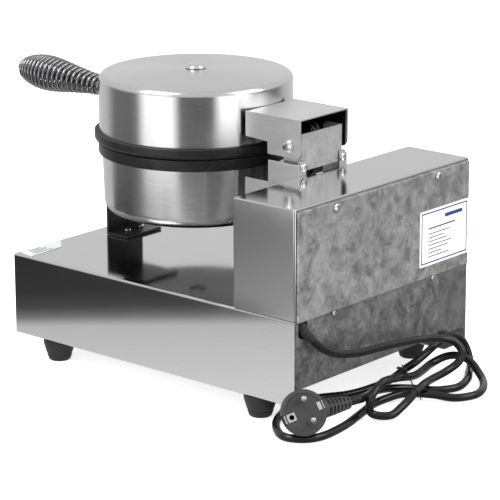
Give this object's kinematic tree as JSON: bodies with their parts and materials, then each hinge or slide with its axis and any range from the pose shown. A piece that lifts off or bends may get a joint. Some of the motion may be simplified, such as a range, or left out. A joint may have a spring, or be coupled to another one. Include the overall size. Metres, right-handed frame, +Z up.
{
  "type": "waffle cone maker",
  "caption": "Countertop electric waffle cone maker: round hinged baking heads over a folded steel base, coiled wire handle, dial thermostat and mains lead.",
  "frame": {"origin": "middle of the footprint of the machine without its mains lead, handle included, on the table", "axes": "+Z up; the operator stands at -Y and the handle points to -Y; +X to the operator's right; rear wiring housing at +Y"},
  "size_m": [0.2724, 0.5013, 0.2656],
  "materials": {
    "brushed_stainless": "brushed",
    "galvanised_sheet": "spangled zinc",
    "heater_sheath": "matt",
    "zinc_hardware": "bright zinc",
    "chrome_wire": "polished",
    "black_iron": "satin, seasoned",
    "black_paint": "satin",
    "black_rubber": "matt",
    "black_pvc": "semi-gloss",
    "black_plastic": "fine texture",
    "nickel_brass": "nickel plated",
    "label_film": "satin film",
    "ceramic_fibre": "fibrous",
    "green_lens": "clear lens",
    "amber_lens": "clear lens"
  },
  "bodies": {
    "base": {"base_shell": "brushed_stainless", "front_panel": "brushed_stainless", "lower_rear_panel": "galvanised_sheet", "bottom_tray": "galvanised_sheet", "foot_front_left": "black_rubber", "foot_front_right": "black_rubber", "foot_rear_left": "black_rubber", "foot_rear_right": "black_rubber", "rear_housing": "brushed_stainless", "rear_cover_plate": "galvanised_sheet", "cover_screw_left": "zinc_hardware", "cover_screw_right": "zinc_hardware", "panel_screw_left": "zinc_hardware", "panel_screw_right": "zinc_hardware", "rating_label": "label_film", "control_sticker": "label_film", "front_support_bracket": "black_paint", "support_screw_left": "zinc_hardware", "support_screw_right": "zinc_hardware", "lower_hinge_bracket": "brushed_stainless", "bracket_screw_left": "zinc_hardware", "bracket_screw_right": "zinc_hardware", "hinge_post": "galvanised_sheet", "post_screw_left": "zinc_hardware", "post_screw_right": "zinc_hardware", "lower_casing": "brushed_stainless", "lower_plate": "black_iron", "lower_heater": "heater_sheath", "lower_insulation": "ceramic_fibre", "thermostat_bulb": "nickel_brass", "thermostat_body": "black_plastic", "power_lamp": "green_lens", "heating_lamp": "amber_lens", "power_switch": "black_plastic", "terminal_block": "label_film", "heater_relay": "black_plastic", "cord_sleeve": "black_rubber", "power_cord": "black_pvc", "cord_tie": "black_pvc", "plug_body": "black_rubber", "plug_pin_upper": "nickel_brass", "plug_pin_lower": "nickel_brass", "plug_earth_near": "nickel_brass", "plug_earth_far": "nickel_brass", "wiring_base": "black_pvc"},
    "lid": {"upper_casing": "brushed_stainless", "upper_plate": "black_iron", "upper_heater": "heater_sheath", "upper_insulation": "ceramic_fibre", "centre_nut": "zinc_hardware", "upper_hinge_bracket": "brushed_stainless", "handle_boss": "chrome_wire", "handle_rod": "chrome_wire", "handle_coil": "chrome_wire", "pivot_pin_left": "zinc_hardware", "pivot_pin_right": "zinc_hardware", "wiring_lid": "black_pvc"},
    "knob": {"thermostat_knob": "black_plastic"},
    "rocker": {"rocker_button": "black_plastic"}
  },
  "joints": [
    {"name": "lid_hinge", "type": "hinge", "parent": "base", "child": "lid", "pos_m": [0, 0.137, 0.2155], "axis": [-1, 0, 0], "range_deg": [0, 95]},
    {"name": "thermostat_turn", "type": "hinge", "parent": "base", "child": "knob", "pos_m": [0.003, -0.1115, 0.067], "axis": [0, 1, 0], "range_deg": [0, 270]},
    {"name": "rocker_tip", "type": "hinge", "parent": "base", "child": "rocker", "pos_m": [0.084, -0.1076, 0.062], "axis": [-1, 0, 0], "range_deg": [0, 22]}
  ]
}
